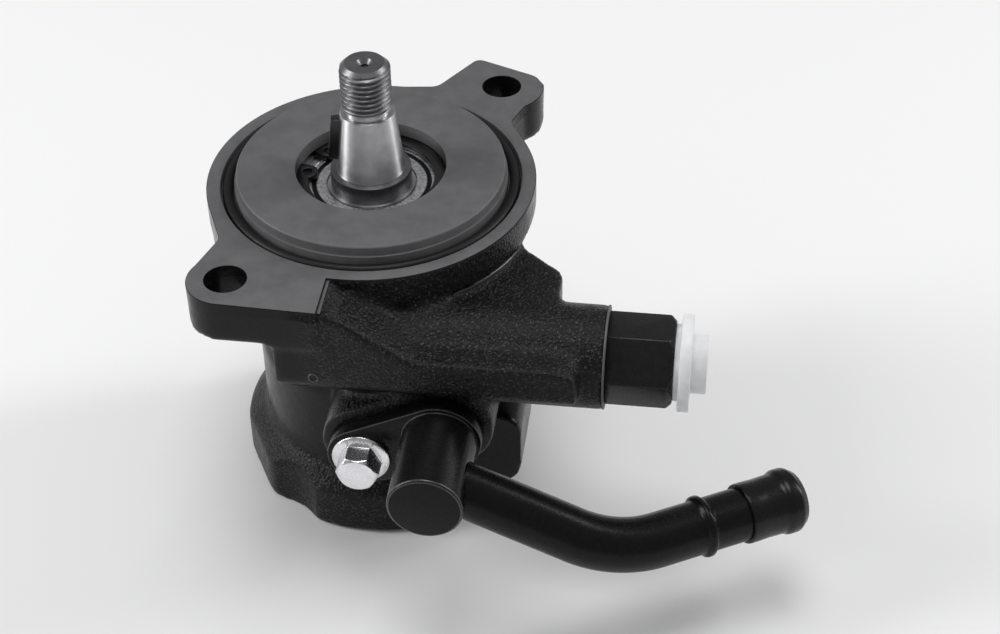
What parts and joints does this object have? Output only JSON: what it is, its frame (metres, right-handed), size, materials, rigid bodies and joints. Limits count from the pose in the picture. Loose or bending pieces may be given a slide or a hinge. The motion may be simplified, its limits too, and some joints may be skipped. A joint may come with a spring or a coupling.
{
  "type": "power steering pump",
  "caption": "Vane-type power steering pump: black cast housing with a two-ear flange, tapered threaded drive shaft, hexagonal pressure union and a bent, capped suction tube.",
  "frame": {"origin": "on the shaft axis, in the flange's mounting face", "axes": "+Z out along the drive shaft, +X along the pressure union, the suction union points to -Y"},
  "size_m": [0.1735, 0.1482, 0.1368],
  "materials": {
    "cast_black": "black satin paint over sand-cast iron, mounting face machined",
    "union_black": "black satin",
    "tube_black": "black satin paint",
    "cap_black": "black soft plastic",
    "plug_white": "white moulded plastic",
    "zinc": "bright zinc plate",
    "bright_steel": "ground steel",
    "spring_steel": "black oxide spring steel",
    "sintered_iron": "sintered iron",
    "rubber": "matt rubber",
    "bronze": "bearing bronze"
  },
  "bodies": {
    "housing": {"front_housing": "cast_black", "rear_cover": "sintered_iron", "cover_o_ring": "rubber", "cover_snap_ring": "spring_steel", "pilot_o_ring": "rubber", "bearing_outer_ring": "bright_steel", "bearing_shields": "bright_steel", "bearing_snap_ring": "spring_steel", "shaft_oil_seal": "rubber", "shaft_bush": "bronze", "front_side_plate": "sintered_iron", "cam_ring": "sintered_iron", "rear_side_plate": "sintered_iron", "dowel_pins": "bright_steel", "side_plate_o_ring": "rubber", "wave_spring": "spring_steel", "pressure_port_union": "union_black", "union_o_ring": "rubber", "flow_spring": "spring_steel", "shipping_plug": "plug_white", "suction_union": "union_black", "suction_o_ring": "rubber", "suction_tube": "tube_black", "suction_cap": "cap_black", "suction_bolt": "zinc"},
    "shaft": {"drive_shaft": "bright_steel", "woodruff_key": "spring_steel", "bearing_inner_ring": "bright_steel", "shaft_snap_ring": "spring_steel", "rotor": "sintered_iron", "rotor_snap_ring": "spring_steel"},
    "cage": {"bearing_cage": "bronze", "bearing_balls": "bright_steel"},
    "valve": {"flow_control_valve": "bright_steel"},
    "vane_1_body": {"vane_1": "bright_steel"},
    "vane_2_body": {"vane_2": "bright_steel"},
    "vane_3_body": {"vane_3": "bright_steel"},
    "vane_4_body": {"vane_4": "bright_steel"},
    "vane_5_body": {"vane_5": "bright_steel"},
    "vane_6_body": {"vane_6": "bright_steel"},
    "vane_7_body": {"vane_7": "bright_steel"},
    "vane_8_body": {"vane_8": "bright_steel"},
    "vane_9_body": {"vane_9": "bright_steel"},
    "vane_10_body": {"vane_10": "bright_steel"}
  },
  "joints": [
    {"name": "shaft_spin", "type": "hinge", "parent": "housing", "child": "shaft", "pos_m": [0, 0, 0], "axis": [0, 0, 1], "continuous": true},
    {"name": "cage_spin", "type": "hinge", "parent": "housing", "child": "cage", "pos_m": [0, 0, 0], "axis": [0, 0, 1], "continuous": true},
    {"name": "valve_slide", "type": "slide", "parent": "housing", "child": "valve", "axis": [-1, 0, 0], "range_m": [0, 0.01], "stiffness_N_per_m": 3000, "springref_m": -0.008, "deforming": ["flow_spring"]},
    {"name": "vane_1_slide", "type": "slide", "parent": "shaft", "child": "vane_1_body", "axis": [0.9511, 0.309, 0], "range_m": [-0.002, 0]},
    {"name": "vane_2_slide", "type": "slide", "parent": "shaft", "child": "vane_2_body", "axis": [0.5878, 0.809, 0], "range_m": [-0.002, 0]},
    {"name": "vane_3_slide", "type": "slide", "parent": "shaft", "child": "vane_3_body", "axis": [0, 1, 0], "range_m": [-0.002, 0]},
    {"name": "vane_4_slide", "type": "slide", "parent": "shaft", "child": "vane_4_body", "axis": [-0.5878, 0.809, 0], "range_m": [-0.002, 0]},
    {"name": "vane_5_slide", "type": "slide", "parent": "shaft", "child": "vane_5_body", "axis": [-0.9511, 0.309, 0], "range_m": [-0.002, 0]},
    {"name": "vane_6_slide", "type": "slide", "parent": "shaft", "child": "vane_6_body", "axis": [-0.9511, -0.309, 0], "range_m": [-0.002, 0]},
    {"name": "vane_7_slide", "type": "slide", "parent": "shaft", "child": "vane_7_body", "axis": [-0.5878, -0.809, 0], "range_m": [-0.002, 0]},
    {"name": "vane_8_slide", "type": "slide", "parent": "shaft", "child": "vane_8_body", "axis": [0, -1, 0], "range_m": [-0.002, 0]},
    {"name": "vane_9_slide", "type": "slide", "parent": "shaft", "child": "vane_9_body", "axis": [0.5878, -0.809, 0], "range_m": [-0.002, 0]},
    {"name": "vane_10_slide", "type": "slide", "parent": "shaft", "child": "vane_10_body", "axis": [0.9511, -0.309, 0], "range_m": [-0.002, 0]}
  ],
  "couplings": [
    {"joint": "cage_spin", "follows": "shaft_spin", "ratio": 0.39758}
  ]
}
